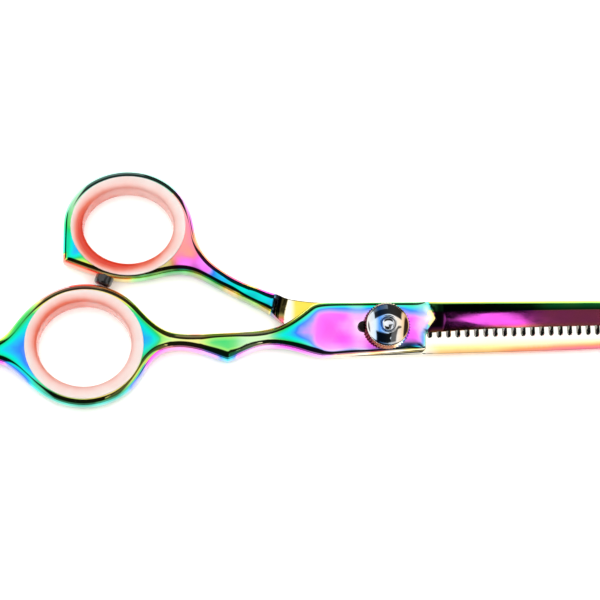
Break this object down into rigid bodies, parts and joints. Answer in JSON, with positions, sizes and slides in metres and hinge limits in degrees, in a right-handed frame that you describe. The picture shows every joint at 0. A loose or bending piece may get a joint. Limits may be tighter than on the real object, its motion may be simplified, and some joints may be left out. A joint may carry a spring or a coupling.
{
  "type": "thinning shears",
  "caption": "Hairdresser's thinning shears with offset finger rings, soft ring inserts, a knurled tension dial, one plain blade and one toothed blade.",
  "frame": {"origin": "on the pivot axis, in the flat back face of the pivot stud's head, which is the plane the shears rest on", "axes": "+X from the rings along the closed blades to their tips, +Y towards the thumb ring, +Z along the pivot axis from the stud's head up to the tension dial"},
  "size_m": [0.1729, 0.0556, 0.0092],
  "materials": {
    "iridescent_steel": "mirror polished stainless steel with an interference coating that runs through yellow, green, cyan, blue and magenta",
    "ring_silicone": "translucent soft silicone, satin, pale salmon pink",
    "stopper_rubber": "smooth black rubber with a slight gloss",
    "polished_steel": "bright chromed steel",
    "plain_steel": "plain turned steel",
    "glide_polymer": "white low-friction polymer",
    "bush_bronze": "sintered bronze, unpolished"
  },
  "bodies": {
    "comb_side": {"comb_half": "iridescent_steel", "thumb_ring_insert": "ring_silicone", "bumper": "stopper_rubber", "bumper_stem": "plain_steel", "pivot_stud": "polished_steel", "glide_washer": "glide_polymer", "dial_shim": "glide_polymer", "click_plate": "polished_steel", "spring_washer": "plain_steel"},
    "blade_side": {"blade_half": "iridescent_steel", "finger_ring_insert": "ring_silicone", "pivot_bush": "bush_bronze"},
    "dial_presser": {"pressure_washer": "plain_steel"},
    "dial": {"tension_dial": "polished_steel"}
  },
  "joints": [
    {"name": "blade_pivot", "type": "hinge", "parent": "comb_side", "child": "blade_side", "pos_m": [0, 0, 0.0045], "axis": [0, 0, 1], "range_deg": [0, 60]},
    {"name": "dial_lift", "type": "slide", "parent": "comb_side", "child": "dial_presser", "axis": [0, 0, 1], "range_m": [0, 0.00025], "deforming": ["spring_washer"]},
    {"name": "dial_turn", "type": "hinge", "parent": "dial_presser", "child": "dial", "pos_m": [0, 0, 0.0075], "axis": [0, 0, 1], "range_deg": [0, 180]}
  ],
  "couplings": [
    {"joint": "dial_turn", "follows": "dial_lift", "rad_per_m": 12566}
  ]
}
